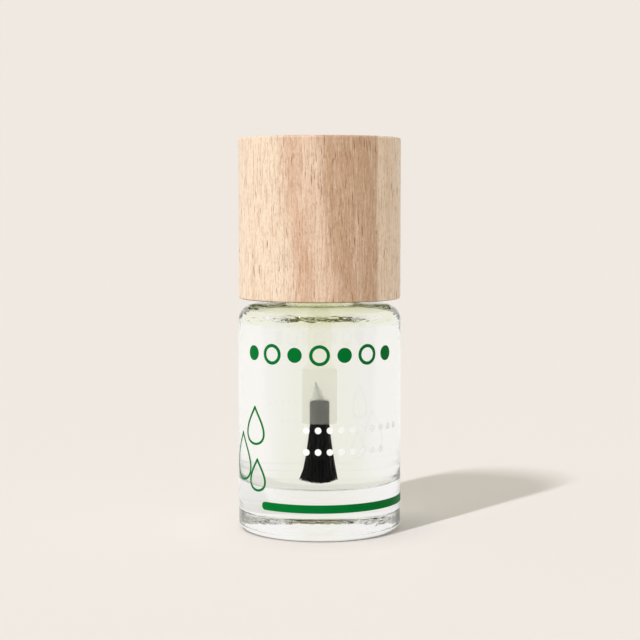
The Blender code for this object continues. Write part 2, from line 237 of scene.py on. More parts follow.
def add_piece(name, shells, finishes, sharp_angle=40):
    """A mesh object from shells of (points, rows close, finish), where finish is a number in
    finishes or one for each row of faces. Faces that meet at a pole lose their doubled corner and
    become triangles."""
    vertices, quads, triangles, quad_finish, triangle_finish = [], [], [], [], []
    first = 0
    for points, closed, finish in shells:
        faces = shell_faces(points, closed)
        finish = np.asarray(finish, int).reshape(1, -1, 1)
        finish = np.broadcast_to(finish, faces.shape[:3]).reshape(-1)
        faces = faces.reshape(-1, 4)
        doubled = faces == np.roll(faces, -1, axis=1)
        pole = doubled.any(axis=1)
        quads.append(faces[~pole] + first)
        quad_finish.append(finish[~pole])
        triangles.append(faces[pole][~doubled[pole]].reshape(-1, 3) + first)
        triangle_finish.append(finish[pole])
        vertices.append(points.reshape(-1, 3))
        first += len(vertices[-1])
    vertices, quads, triangles = (np.vstack(part) for part in (vertices, quads, triangles))
    used = np.unique(np.concatenate([quads.ravel(), triangles.ravel()]))
    quads, triangles = np.searchsorted(used, quads), np.searchsorted(used, triangles)
    finish_numbers = np.concatenate(quad_finish + triangle_finish).astype(np.int32)
    mesh = bpy.data.meshes.new(name)
    mesh.from_pydata(vertices[used].tolist(), [], quads.tolist() + triangles.tolist())
    mesh.polygons.foreach_set("material_index", finish_numbers)
    for finish in finishes:
        mesh.materials.append(finish)
    mesh.shade_smooth()
    mesh.set_sharp_from_angle(angle=math.radians(sharp_angle))
    mesh.update()
    return add_object(name, mesh)


def smooth_step(value, low, high):
    """0 below low and 1 above high, joined by 3t^2 - 2t^3."""
    share = np.clip((value - low) / (high - low), 0, 1)
    return share * share * (3 - 2 * share)


def helix_ridge(height, angle, foot, turns, width, crest):
    """How far a screw thread stands up, from 0 to 1: a flat crest with sloping sides round the line
    height = foot + PITCH * angle / tau, that fades in and out over a sixth of a turn at its
    ends."""
    lead = height - foot - PITCH * angle / math.tau
    turn = np.round(lead / PITCH)
    offset = np.abs(lead - turn * PITCH)
    along = turn + angle / math.tau
    side = 1 - smooth_step(offset, crest / 2, width / 2)
    ends = smooth_step(along, 0, 1 / 6) * (1 - smooth_step(along, turns - 1 / 6, turns))
    return side * ends


# Materials

GLASS_INDEX = 1.52
OIL_INDEX = 1.47
CLEAR = (1, 1, 1)
GLASS_TINT = (0.996, 0.998, 0.990)
NECK_TINT = (0.85, 0.86, 0.64)
OIL_TINT = (0.93, 0.92, 0.55)
OIL_DENSITY = 4.5

# Heights in millimetres over which the tint and the ripples of the glass come in
TINT_FADE = 1.1
SHOULDER_RIPPLES = (BODY_HEIGHT - 7.0, BODY_HEIGHT - 2.5)
HEEL_RIPPLES = (4.2, 2.0)
HEEL_RIPPLE_SHARE = 0.5

BEECH_CREAM = (0.93, 0.75, 0.565, 1)
BEECH_LIGHT = (0.96, 0.79, 0.62, 1)
BEECH_PINK = (0.78, 0.51, 0.345, 1)
BEECH_TAN = (0.66, 0.425, 0.265, 1)
BEECH_PALE = (0.95, 0.72, 0.53, 1)
# Paler wood at the right side, made lighter still as painted light for the light that side lacks
BEECH_PALE_AND_LIT = (0.99, 0.775, 0.565, 1)
BEECH_DARK = (0.44, 0.210, 0.100, 1)
BEECH_RAY = (0.28, 0.090, 0.028, 1)
# Painted shade for the edge of the cap's foot, which lies in shade under the cap
BEECH_FOOT_SHADE = (0.10, 0.075, 0.022, 1)
# Turns in degrees of the grain and of the growth bands, and the place of the bands in millimetres
GRAIN_LEAN = (0, 3.0, 0)
BAND_LEAN = (0, 5.0, 0)
BAND_PLACE = (-4.6, 0, 0)

NYLON_DARK = (0.0015, 0.0015, 0.0016, 1)
NYLON_LIGHT = (0.004, 0.004, 0.0045, 1)
NYLON_TIP = (0.010, 0.010, 0.011, 1)
WIRE_DARK = (0.66, 0.62, 0.54, 1)
WIRE_LIGHT = (0.80, 0.77, 0.70, 1)


def put(tree, kind, inputs=None, **settings):
    """A node with its settings, and its inputs as numbers or links."""
    made = tree.nodes.new(kind)
    for key, value in settings.items():
        setattr(made, key, value)
    for key, value in (inputs or {}).items():
        if isinstance(value, bpy.types.NodeSocket):
            tree.links.new(value, made.inputs[key])
        else:
            made.inputs[key].default_value = value
    return made


def calc(tree, operation, first, second=0.0, third=0.0):
    inputs = {0: first, 1: second, 2: third}
    return put(tree, "ShaderNodeMath", inputs, operation=operation).outputs[0]


def spread(tree, value, low, high, to_low=0.0, to_high=1.0):
    """value from low to high becomes to_low to to_high, with soft ends."""
    inputs = {
        "Value": value,
        "From Min": low,
        "From Max": high,
        "To Min": to_low,
        "To Max": to_high,
    }
    return put(tree, "ShaderNodeMapRange", inputs, interpolation_type="SMOOTHSTEP").outputs[0]


def mixed(tree, factor, first, second):
    return put(tree, "ShaderNodeMix", {0: factor, 6: first, 7: second}, data_type="RGBA").outputs[2]


def scaled(tree, colour, factor):
    inputs = {0: colour, "Scale": factor}
    return put(tree, "ShaderNodeVectorMath", inputs, operation="SCALE").outputs[0]


def stretched(tree, scale=(1, 1, 1), turn=(0, 0, 0), place=(0, 0, 0)):
    """Object coordinates in millimetres times scale, then turned in degrees and moved by place."""
    inputs = {
        "Vector": put(tree, "ShaderNodeTexCoord").outputs["Object"],
        "Location": place,
        "Rotation": [math.radians(part) for part in turn],
        "Scale": [part / MM for part in scale],
    }
    return put(tree, "ShaderNodeMapping", inputs).outputs[0]


def position(tree, turn=(0, 0, 0), place=(0, 0, 0)):
    """X, Y and Z of the Object coordinates in millimetres, turned in degrees and moved by place."""
    coordinates = stretched(tree, turn=turn, place=place)
    return put(tree, "ShaderNodeSeparateXYZ", {0: coordinates}).outputs


def noise(tree, vector, detail=2.0, roughness=0.5, scale=1.0):
    inputs = {"Vector": vector, "Scale": scale, "Detail": detail, "Roughness": roughness}
    return put(tree, "ShaderNodeTexNoise", inputs).outputs["Fac"]


def bump(tree, height, strength, distance):
    inputs = {"Height": height, "Strength": strength, "Distance": distance * MM}
    return put(tree, "ShaderNodeBump", inputs).outputs[0]


def new_material(name, **constants):
    """A material with a Principled shader, whose constants stand on its own sockets."""
    material = bpy.data.materials.new(name)
    material.use_nodes = True
    shader = material.node_tree.nodes["Principled BSDF"]
    for key, value in constants.items():
        shader.inputs[key.replace("_", " ")].default_value = value
    return material, material.node_tree, shader


def feed(tree, shader, **links):
    for key, socket in links.items():
        tree.links.new(socket, shader.inputs[key.replace("_", " ")])


def make_mottle_group():
    """Slow colour drift and fine grain that moulded plastic, foam and ink all have."""
    group = bpy.data.node_groups.new("Mottle", "ShaderNodeTree")
    for way, name, kind in (
        ("INPUT", "Vector", "NodeSocketVector"),
        ("INPUT", "Colour", "NodeSocketColor"),
        ("INPUT", "Drift", "NodeSocketFloat"),
        ("INPUT", "Grain Scale", "NodeSocketFloat"),
        ("INPUT", "Rough Low", "NodeSocketFloat"),
        ("INPUT", "Rough High", "NodeSocketFloat"),
        ("OUTPUT", "Colour", "NodeSocketColor"),
        ("OUTPUT", "Roughness", "NodeSocketFloat"),
        ("OUTPUT", "Height", "NodeSocketFloat"),
    ):
        group.interface.new_socket(name=name, in_out=way, socket_type=kind)
    source = group.nodes.new("NodeGroupInput").outputs
    slow = noise(group, source["Vector"], detail=3.0, scale=0.35)
    fine = noise(group, source["Vector"], detail=3.0, roughness=0.6, scale=source["Grain Scale"])
    shade = calc(group, "MULTIPLY_ADD", calc(group, "SUBTRACT", slow, 0.5), source["Drift"], 1.0)
    rough = put(group, "ShaderNodeMapRange", {
        "Value": fine, "From Min": 0.35, "From Max": 0.65,
        "To Min": source["Rough Low"], "To Max": source["Rough High"],
    }).outputs[0]
    put(group, "NodeGroupOutput", {
        "Colour": scaled(group, source["Colour"], shade), "Roughness": rough, "Height": fine,
    })
    return group


mottle_group = make_mottle_group()


def mottled(tree, colour, drift, grain, rough):
    """The Mottle group placed in a material; rough is its lowest and its highest roughness."""
    inputs = {
        "Vector": stretched(tree),
        "Colour": (*colour, 1),
        "Drift": drift,
        "Grain Scale": grain,
        "Rough Low": rough[0],
        "Rough High": rough[1],
    }
    return put(tree, "ShaderNodeGroup", inputs, node_tree=mottle_group).outputs


def mottled_material(name, colour, drift, grain, rough, depth, **constants):
    material, tree, shader = new_material(name, **constants)
    out = mottled(tree, colour, drift, grain, rough)
    feed(tree, shader, Base_Color=out["Colour"], Roughness=out["Roughness"],
         Normal=bump(tree, out["Height"], 0.5, depth))
    return material


def clear_material(name, colour, index, wave_depth, smudge=0.0, ripple_depth=0.0, tint_from=None):
    """Clear moulded stuff: slow waves in its surface, finer ripples at the shoulder and the heel,
    faint smudges that dull it a little, and a deeper tint from the height of tint_from up."""
    material, tree, shader = new_material(name, Transmission_Weight=1.0, IOR=index,
                                          Base_Color=(*colour, 1))
    wave = noise(tree, stretched(tree, (0.16, 0.16, 0.10)), detail=1.0)
    height = position(tree)["Z"]
    if tint_from:
        deep = spread(tree, height, tint_from, tint_from + TINT_FADE)
        feed(tree, shader, Base_Color=mixed(tree, deep, (*colour, 1), (*NECK_TINT, 1)))
    if ripple_depth:
        shoulder = spread(tree, height, *SHOULDER_RIPPLES)
        heel = spread(tree, height, *HEEL_RIPPLES, 0.0, HEEL_RIPPLE_SHARE)
        ripple = noise(tree, stretched(tree, (0.40, 0.40, 1.3)), detail=1.5)
        edges = calc(tree, "MULTIPLY", ripple, calc(tree, "MAXIMUM", shoulder, heel))
        wave = calc(tree, "ADD", wave, calc(tree, "MULTIPLY", edges, ripple_depth / wave_depth))
    feed(tree, shader, Normal=bump(tree, wave, 1.0, wave_depth))
    if smudge:
        haze = noise(tree, stretched(tree, (0.5, 0.5, 0.3)), detail=4.0, roughness=0.6)
        feed(tree, shader, Roughness=spread(tree, haze, 0.55, 0.8, 0.0, smudge))
    else:
        shader.inputs["Roughness"].default_value = 0.0
    return material


def make_oil_material(name, index):
    """Clear oil with even absorption, so that a longer way through it looks deeper in colour."""
    material = clear_material(name, CLEAR, index, wave_depth=0.0)
    tree = material.node_tree
    inputs = {"Color": (*OIL_TINT, 1), "Density": OIL_DENSITY}
    volume = put(tree, "ShaderNodeVolumeAbsorption", inputs).outputs[0]
    tree.links.new(volume, tree.nodes["Material Output"].inputs["Volume"])
    return material


def rays(tree, across, along, density, wanted, width):
    """Dashes where the flat cells of the wood's rays meet its face. density is the number of cells
    in a millimetre across and along the grain. A cell whose own number is over wanted has a dash,
    from 0 at its rim to 1 at its heart and about width of a cell across."""
    flat = put(tree, "ShaderNodeCombineXYZ", {
        "X": calc(tree, "MULTIPLY", across, density[0]),
        "Y": calc(tree, "MULTIPLY", along, density[1]),
    }).outputs[0]
    inputs = {"Vector": flat, "Scale": 1.0}
    cells = put(tree, "ShaderNodeTexVoronoi", inputs, voronoi_dimensions="2D").outputs
    own = put(tree, "ShaderNodeSeparateColor", {0: cells["Color"]}).outputs
    size = calc(tree, "MULTIPLY", spread(tree, own["Green"], 0.0, 1.0, 0.55, 1.0), width)
    heart = calc(tree, "DIVIDE", cells["Distance"], size)
    chosen = calc(tree, "GREATER_THAN", own["Red"], wanted)
    return calc(tree, "MULTIPLY", spread(tree, heart, 1.0, 0.45), chosen)


def make_beech():
    """Oiled beech from a plank whose growth bands stand upright across the front: cream on the
    left, pink, pale, then tan, and paler again on the right, where the paler wood is made lighter
    still as painted light for the light that side lacks. Over them lie upright fibres, fine
    speckle, pores and the dashes of the rays, which crowd together in the tan band. The edge of the
    foot is painted dark, as the shade under the cap."""
    material, tree, shader = new_material("oiled_beech", Coat_Weight=0.10, Coat_Roughness=0.4)
    wander = noise(tree, stretched(tree, (0.10, 0.10, 0.06)), detail=3.0, roughness=0.55)
    stripe = noise(tree, stretched(tree, (0.8, 0.6, 0.03), GRAIN_LEAN), detail=3.0, roughness=0.6)
    fibre = noise(tree, stretched(tree, (3.6, 3.6, 0.26), GRAIN_LEAN), detail=4.0, roughness=0.65)
    speckle = noise(tree, stretched(tree, (6.5, 6.5, 1.6), GRAIN_LEAN), detail=3.0, roughness=0.6)
    pore = noise(tree, stretched(tree, (8.0, 8.0, 1.1), GRAIN_LEAN, (7.0, 2.0, 1.0)))
    patchy = noise(tree, stretched(tree, (0.35, 0.1, 0.10), GRAIN_LEAN, (3.1, 0, 1.7)))
    upright = position(tree)
    leaning = position(tree, GRAIN_LEAN)
    wandered = calc(tree, "SUBTRACT", wander, 0.5)
    drift = calc(tree, "MULTIPLY", wandered, 5.0)
    band = calc(tree, "ADD", position(tree, BAND_LEAN, BAND_PLACE)["X"], drift)
    edge = calc(tree, "ADD", upright["X"], calc(tree, "MULTIPLY", drift, 0.25))

    # From one value of a pattern to the next, how much of which colour comes in
    colour = BEECH_CREAM
    for pattern, low, high, share, next_colour in (
        (band, -7.0, -3.8, 1.0, BEECH_PINK),
        (band, -3.2, -1.6, 0.6, BEECH_PALE),
        (band, 0.2, 2.6, 1.0, BEECH_TAN),
        # Right side: partly paler wood, partly painted light
        (edge, 9.2, 9.9, 1.0, BEECH_PALE_AND_LIT),
        (stripe, 0.50, 0.72, 0.40, BEECH_TAN),
        (stripe, 0.48, 0.30, 0.35, BEECH_LIGHT),
        (fibre, 0.46, 0.68, 0.42, BEECH_DARK),
        (fibre, 0.48, 0.30, 0.50, BEECH_LIGHT),
        (speckle, 0.52, 0.68, 0.32, BEECH_DARK),
        (speckle, 0.46, 0.32, 0.32, BEECH_LIGHT),
        (pore, 0.58, 0.68, 0.38, BEECH_DARK),
    ):
        colour = mixed(tree, spread(tree, pattern, low, high, 0.0, share), colour, next_colour)

    # Where wanted is near 1 there are few rays: it falls in patches and in the tan band
    crowd = calc(tree, "MULTIPLY", spread(tree, band, -1.0, 2.5), spread(tree, band, 9.0, 7.0))
    few = calc(tree, "MULTIPLY_ADD", spread(tree, patchy, 0.38, 0.62), -0.40, 0.98)
    wanted = calc(tree, "MULTIPLY_ADD", crowd, -0.28, few)
    across = calc(tree, "ADD", leaning["X"], calc(tree, "MULTIPLY", wandered, 3.0))
    long_rays = rays(tree, across, leaning["Z"], (2.3, 0.15), wanted, 0.20)
    short_rays = rays(tree, across, leaning["Z"], (3.3, 0.34), wanted, 0.21)
    ray = calc(tree, "MAXIMUM", long_rays, calc(tree, "MULTIPLY", short_rays, 0.55))
    colour = mixed(tree, calc(tree, "MULTIPLY", ray, 0.72), colour, BEECH_RAY)

    # Painted shade: the edge of the foot is darkened to stand for the shade under the cap
    foot = spread(tree, upright["Z"], CAP_FOOT + 0.16, CAP_FOOT + 0.04)
    colour = mixed(tree, foot, colour, BEECH_FOOT_SHADE)

    rough = spread(tree, fibre, 0.3, 0.7, 0.42, 0.60)
    relief = calc(tree, "SUBTRACT", fibre, calc(tree, "MULTIPLY", ray, 0.8))
    relief = calc(tree, "SUBTRACT", relief, spread(tree, pore, 0.58, 0.70, 0.0, 0.5))
    feed(tree, shader, Base_Color=colour, Roughness=rough, Normal=bump(tree, relief, 0.7, 0.05))
    return material


def make_bristle_nylon():
    """Black nylon whose strands differ a little in tone and dullness, lighter at the cut tips."""
    material, tree, shader = new_material("black_nylon", Specular_IOR_Level=0.2, IOR=1.53)
    tip = spread(tree, position(tree)["Z"], TUFT_TIP + 1.6, TUFT_TIP - 0.2)
    strand = noise(tree, stretched(tree, (9, 9, 0.4)))
    colour = mixed(tree, spread(tree, strand, 0.35, 0.7), NYLON_DARK, NYLON_LIGHT)
    colour = mixed(tree, calc(tree, "MULTIPLY", tip, 0.35), colour, NYLON_TIP)
    feed(tree, shader, Base_Color=colour, Roughness=spread(tree, strand, 0.3, 0.7, 0.30, 0.48))
    return material


def make_wire_metal():
    """Drawn nickel-silver wire with fine lines along its length."""
    material, tree, shader = new_material("drawn_wire", Metallic=1.0)
    line = noise(tree, stretched(tree, (0.6, 14, 14)), detail=3.0)
    feed(tree, shader, Base_Color=mixed(tree, line, WIRE_DARK, WIRE_LIGHT),
         Roughness=spread(tree, line, 0.3, 0.7, 0.18, 0.36), Normal=bump(tree, line, 0.4, 0.01))
    return material


def make_stem_plastic(name, colour, index, veil):
    """Cloudy polyethylene: mostly clear, with a faint veil inside it. An index of 1 lets light go
    straight on, as between plastic and oil, and a coat then gives the shine."""
    material, tree, shader = new_material(name, IOR=index, Transmission_Weight=1.0 - veil,
                                          Coat_Weight=0.0 if index > 1 else 0.45)
    out = mottled(tree, colour, drift=0.02, grain=2.0, rough=(0.03, 0.08))
    feed(tree, shader, Base_Color=out["Colour"], Roughness=out["Roughness"],
         Normal=bump(tree, out["Height"], 0.4, 0.01))
    return material


clear_glass = clear_material("clear_glass", GLASS_TINT, GLASS_INDEX, wave_depth=0.020, smudge=0.02,
                             ripple_depth=0.10, tint_from=BODY_HEIGHT - 1.3)
wetted_glass = clear_material("wetted_glass", GLASS_TINT, GLASS_INDEX / OIL_INDEX, wave_depth=0.05,
                              tint_from=CEILING - 1.0)
oil_surface = make_oil_material("oil_surface", OIL_INDEX)
oil_side = make_oil_material("oil_side", 1.0)
oiled_beech = make_beech()
white_plastic = mottled_material("white_plastic", (0.74, 0.71, 0.50), drift=0.06, grain=5.0,
                                 rough=(0.28, 0.40), depth=0.02)
soft_foam = mottled_material("soft_foam", (0.80, 0.80, 0.77), drift=0.10, grain=9.0,
                             rough=(0.65, 0.85), depth=0.06)
green_ink = mottled_material("green_ink", (0.0005, 0.175, 0.028), drift=0.25, grain=4.0,
                             rough=(0.30, 0.42), depth=0.01, Specular_IOR_Level=0.03)
# White ink with a painted glow: its faint emission stands for light coming through the thin film
# from behind
white_ink_painted_glow = mottled_material("white_ink_painted_glow", (0.97, 0.97, 0.96), drift=0.03, grain=4.0,
                             rough=(0.25, 0.36), depth=0.01,
                             Emission_Color=(1, 1, 1, 1), Emission_Strength=0.10)
clear_rod = make_stem_plastic("clear_rod", (0.985, 0.98, 0.92), index=1.0, veil=0.035)
cloudy_socket = make_stem_plastic("cloudy_socket", (0.985, 0.985, 0.93), index=1.0, veil=0.13)
cloudy_void = make_stem_plastic("cloudy_void", (0.90, 0.91, 0.87), index=1.50, veil=0.45)
black_nylon = make_bristle_nylon()
drawn_wire = make_wire_metal()


# Glass and oil


def bowl(radius, centre, rim, steps=8):
    """Corners of a shallow bowl from its centre out to BOWL_SHARE of its radius, whose height goes
    from centre towards rim as the square of the radius."""
    share = np.linspace(0, BOWL_SHARE, steps)
    return [(radius * part, centre + (rim - centre) * part * part) for part in share]


def bottle_outline():
    """Outline from the middle of the inner floor, up the inside, over the lip, down the outside and
    in to the middle of the punt."""
    return rounded([
        *bowl(INNER_RADIUS, FLOOR_CENTRE, FLOOR_RIM),
        (INNER_RADIUS, FLOOR_RIM, FLOOR_RADIUS),
        (INNER_RADIUS, CEILING, CEILING_RADIUS),
        (NECK_BORE, CEILING + SHOULDER_FALL, THROAT_RADIUS),
        (NECK_BORE, LIP, LIP_INNER_RADIUS),
        (NECK_RADIUS, LIP, LIP_OUTER_RADIUS),
        (NECK_RADIUS, BODY_HEIGHT, NECK_FOOT_RADIUS),
        (BODY_RADIUS, BODY_HEIGHT - SHOULDER_FALL, SHOULDER_RADIUS),
        (BODY_RADIUS, 0, HEEL_RADIUS),
        (PUNT_RADIUS, 0, 0.3),
        *reversed(bowl(PUNT_RADIUS, PUNT_DEPTH, 0)),
    ])


def make_glass():
    """Bottle wall: the turned outline, with a thread on the neck, fine ribs on the contact ring
    and, on the inner wall, waves of 0.035 sin(2a + 0.9) sin(z / 7.5) + 0.02 sin(5a + z / 4) at
    angle a and height z."""
    outline = bottle_outline()
    middle = (outline[:-1] + outline[1:]) / 2
    on_neck = (np.abs(middle[:, 0] - NECK_RADIUS) < 0.05) & (middle[:, 1] > BODY_HEIGHT + 1)
    on_ring = (middle[:, 1] < 0.05) & (middle[:, 0] > PUNT_RADIUS)
    outline = densify(outline, spacing=np.where(on_neck, 0.17, np.where(on_ring, 0.35, 2.4)))
    radius, height, angle = turned_grid(outline, sides=384)
    outer = (np.arange(len(outline)) > np.argmax(outline[:, 1]))[:, None]

    neck = outer & (np.abs(radius - NECK_RADIUS) < 0.05) & (height > BODY_HEIGHT + 1)
    ridge = helix_ridge(height, angle, NECK_THREAD_FOOT, turns=2.1, width=1.25, crest=0.45)
    ring_end = BODY_RADIUS - HEEL_RADIUS - 0.1
    ring = outer & (height < 0.02) & (radius > PUNT_RADIUS + 0.25) & (radius < ring_end)
    rib = CONTACT_RING_DEPTH * (0.5 - 0.5 * np.cos(CONTACT_RING_RIBS * angle))
    wall = ~outer & (radius > INNER_RADIUS - 0.05)
    wave = 0.035 * np.sin(2 * angle + 0.9) * np.sin(height / 7.5)
    wave = wave + 0.02 * np.sin(5 * angle + height / 4.0)
    lifted = height + np.where(ring, rib, 0)
    widened = radius + np.where(neck, NECK_THREAD_HEIGHT * ridge, 0) + np.where(wall, wave, 0)
    points = placed(widened, lifted, angle)
    face_height = (outline[:-1, 1] + outline[1:, 1]) / 2
    finish = ((face_height < OIL_CONTACT) & ~outer[1:, 0]).astype(int)
    return add_piece("glass", [(points[None], False, finish)], [clear_glass, wetted_glass])


def make_oil():
    """The whole fill: its sides and foot lie a little inside the glass, and its free surface climbs
    as exp(-distance / CLIMB_FADE) at the glass and at the stem."""
    inner = densify(bottle_outline(), spacing=2.4)
    side = inner[:np.argmax(inner[:, 1] > OIL_CONTACT)]
    along = np.gradient(side, axis=0)
    outward = np.stack([along[:, 1], -along[:, 0]], axis=1)
    outward /= np.linalg.norm(outward, axis=1)[:, None]
    side = side + OIL_OVERLAP * outward
    side[0, 0] = 0
    rim = side[-1, 0]
    radius = np.concatenate([np.linspace(rim, ROD_RADIUS, 18)[1:], [0.7, 0.0]])
    climb = (side[-1, 1] - OIL_LEVEL) * np.exp(-(rim - radius) / CLIMB_FADE)
    climb += STEM_CLIMB * np.exp(-np.maximum(radius - ROD_RADIUS, 0) / CLIMB_FADE)
    top = np.stack([radius, OIL_LEVEL + climb], axis=1)
    outline = np.vstack([side, top])
    finish = (np.arange(len(outline) - 1) < len(side) - 1).astype(int)
    points = placed(*turned_grid(outline, sides=256))
    return add_piece("oil", [(points[None], False, finish)], [oil_surface, oil_side])


# Print


def on_glass(along, height, radius):
    """A point of the print: along the round front from its middle, and up, at this radius."""
    turn = along / PRINT_FACE
    return np.stack([radius * np.sin(turn), -radius * np.cos(turn), height], axis=-1) * MM


def disc(centre, radius, rings=5, sides=48):
    """A filled disc: rings of 0 to 1 times radius, a face outside and one in the glass."""
    angle = np.linspace(0, math.tau, sides, endpoint=False)[None, :]
    share = np.concatenate([np.linspace(0, 1, rings), np.linspace(1, 0, rings)])[:, None]
    level = np.concatenate([np.full(rings, PRINT_FACE), np.full(rings, PRINT_BACK)])[:, None]
    along = centre[0] + share * radius * np.cos(angle)
    height = centre[1] + share * radius * np.sin(angle)
    return on_glass(along, height, level + 0 * angle)[None], False, 0


def stroke(path, width, closed):
    """A drawn line: the path's two sides at half the width, each outside and in the glass. Open
    ends are rounded by narrowing as a half circle."""
    if closed:
        ahead = np.roll(path, -1, axis=0) - np.roll(path, 1, axis=0)
    else:
        ahead = np.gradient(path, axis=0)
    ahead = ahead / np.linalg.norm(ahead, axis=1)[:, None]
    across = np.stack([-ahead[:, 1], ahead[:, 0]], axis=1)
    half = np.full((len(path), 1), width / 2)
    if not closed:
        length = np.concatenate([[0], np.cumsum(np.linalg.norm(np.diff(path, axis=0), axis=1))])
        from_end = np.minimum(length, length[-1] - length)[:, None]
        inside = np.clip(1 - from_end / (width / 2), 0, 1)
        half = half * np.sqrt(1 - inside * inside)
    left, right = path + across * half, path - across * half
    columns = [(left, PRINT_FACE), (right, PRINT_FACE), (right, PRINT_BACK), (left, PRINT_BACK)]
    points = np.stack([on_glass(side[:, 0], side[:, 1], level) for side, level in columns], axis=1)
    if not closed:
        points[0] = points[0].mean(axis=0)
        points[-1] = points[-1].mean(axis=0)
    return points[None], closed, 0


def ring_path(centre, radius, sides=72):
    angle = np.linspace(0, math.tau, sides, endpoint=False)
    along = centre[0] + radius * np.cos(angle)
    height = centre[1] + radius * np.sin(angle)
    return np.stack([along, height], axis=1)


def drop_path(centre, size, sides=96):
    """Outline of an oil drop of size s, point up: x = 0.62 s sin(t) sin(t / 2)^1.4 and
    z = 0.625 s cos(t) from its centre."""
    turn = np.linspace(0, math.tau, sides, endpoint=False)
    wide = 0.62 * size * np.sin(turn) * np.sin(turn / 2) ** 1.4
    tall = 0.625 * size * np.cos(turn)
    return np.stack([centre[0] + wide, centre[1] + tall], axis=1)


def make_prints():
    """One green stripe, a row of discs and rings, three drops, and two rows of white dots."""
    rounding = STRIPE_WIDTH / 2 * np.linspace(0, 1, 9) ** 2
    near_end = STRIPE_START + rounding
    far_end = STRIPE_END - rounding[::-1]
    along = np.concatenate([near_end, np.arange(near_end[-1] + 0.3, far_end[0], 0.3), far_end])
    stripe = np.stack([along, np.full(len(along), STRIPE_HEIGHT)], axis=1)
    shells = [stroke(stripe, STRIPE_WIDTH, False)]
    for index, along in enumerate(np.linspace(-SPOT_ROW_REACH, SPOT_ROW_REACH, SPOT_COUNT)):
        spot = (along, SPOT_ROW_HEIGHT)
        if index % 2:
            shells.append(stroke(ring_path(spot, RING_RADIUS), RING_LINE, True))
        else:
            shells.append(disc(spot, DISC_RADIUS))
    for along, height, size in DROPS:
        shells.append(stroke(drop_path((along, height), size), DROP_LINE, True))
    green = add_piece("green_print", shells, [green_ink])
    dots = [
        disc((along, height), DOT_RADIUS, rings=4, sides=32)
        for height, end, count in DOT_ROWS
        for along in np.linspace(DOT_ROW_START, end, count)
    ]
    white = add_piece("white_print", dots, [white_ink_painted_glow])
    return green, white


# Cap, insert and washer


def make_cap():
    """Turned shell with rounded crown and foot, and the two bores for the insert and its boss."""
    outline = rounded([
        (0, CAP_TOP),
        (CAP_RADIUS, CAP_TOP, CAP_CROWN_RADIUS),
        (CAP_RADIUS, CAP_FOOT, CAP_FOOT_RADIUS),
        (CAP_BORE + 0.5, CAP_FOOT, 0.15),
        (CAP_BORE, CAP_FOOT + 0.5, 0.2),
        (CAP_BORE, ROOF_TOP + FIT_GAP),
        (BOSS_RADIUS + FIT_GAP, ROOF_TOP + FIT_GAP),
        (BOSS_RADIUS + FIT_GAP, BOSS_TOP + FIT_GAP),
        (0, BOSS_TOP + FIT_GAP),
    ])
    points = placed(*turned_grid(densify(outline, spacing=1.6), sides=256))
    return add_piece("wooden_cap", [(points[None], False, 0)], [oiled_beech])


def make_insert():
    """Screw insert: the turned outline, with round-backed ribs outside and a thread inside."""
    outline = rounded([
        (0, BOSS_TOP),
        (BOSS_RADIUS, BOSS_TOP, 0.4),
        (BOSS_RADIUS, ROOF_TOP, 0.25),
        (INSERT_SHELL, ROOF_TOP, 0.4),
        (INSERT_SHELL, INSERT_FOOT, 0.25),
        (INSERT_INNER + 0.5, INSERT_FOOT, 0.1),
        (INSERT_INNER, INSERT_FOOT + 0.5, 0.2),
        (INSERT_INNER, ROOF_FOOT, 0.3),
        (STUD_BORE, ROOF_FOOT),
        (STUD_BORE, STUD_TOP + FIT_GAP),
        (0, STUD_TOP + FIT_GAP),
    ])
    middle = (outline[:-1] + outline[1:]) / 2
    inside = (np.abs(middle[:, 0] - INSERT_INNER) < 0.05) & (middle[:, 1] < ROOF_FOOT)
    outline = densify(outline, spacing=np.where(inside, 0.2, 1.2))
    radius, height, angle = turned_grid(outline, sides=312)
    beat = np.abs((angle * RIB_COUNT / math.tau + 0.5) % 1 - 0.5)
    beat = beat * math.tau / RIB_COUNT * INSERT_SHELL
    rib = RIB_HEIGHT * np.sqrt(np.clip(1 - (beat / RIB_HALF_WIDTH) ** 2, 0, 1))
    rib = rib * smooth_step(height, INSERT_FOOT + 0.9, INSERT_FOOT + 1.3)
    rib = rib * (1 - smooth_step(height, ROOF_TOP - 1.3, ROOF_TOP - 0.9))
    ridge = helix_ridge(height, angle, INSERT_THREAD_FOOT, turns=2.2, width=1.0, crest=0.35)
    on_inside = (np.abs(radius - INSERT_INNER) < 0.02) & (height < ROOF_FOOT - 2.2)
    widened = radius + np.where(radius > INSERT_SHELL - 0.02, rib, 0)
    widened = widened - np.where(on_inside, INSERT_THREAD_HEIGHT * ridge, 0)
    points = placed(widened, height, angle)
    return add_piece("insert", [(points[None], False, 0)], [white_plastic])


def make_washer():
    """Foam ring with soft edges and, underneath, the shallow dent that the glass lip pressed."""
    outline = rounded([
        (WASHER_RADIUS, WASHER_TOP, 0.25),
        (WASHER_RADIUS, WASHER_FOOT, 0.25),
        (WASHER_BORE, WASHER_FOOT, 0.15),
        (WASHER_BORE, WASHER_TOP, 0.15),
    ], arc_step=15)
    outline = densify(np.vstack([outline, outline[:1]]), spacing=0.3)[:-1]
    lip_middle = (NECK_RADIUS + NECK_BORE) / 2
    dent = WASHER_DENT * np.exp(-((outline[:, 0] - lip_middle) / 0.7) ** 2)
    outline[:, 1] += np.where(outline[:, 1] < WASHER_FOOT + 0.01, dent, 0)
    points = placed(*turned_grid(outline, sides=160))
    return add_piece("foam_washer", [(points[None], True, 0)], [soft_foam])


# Stem and brush


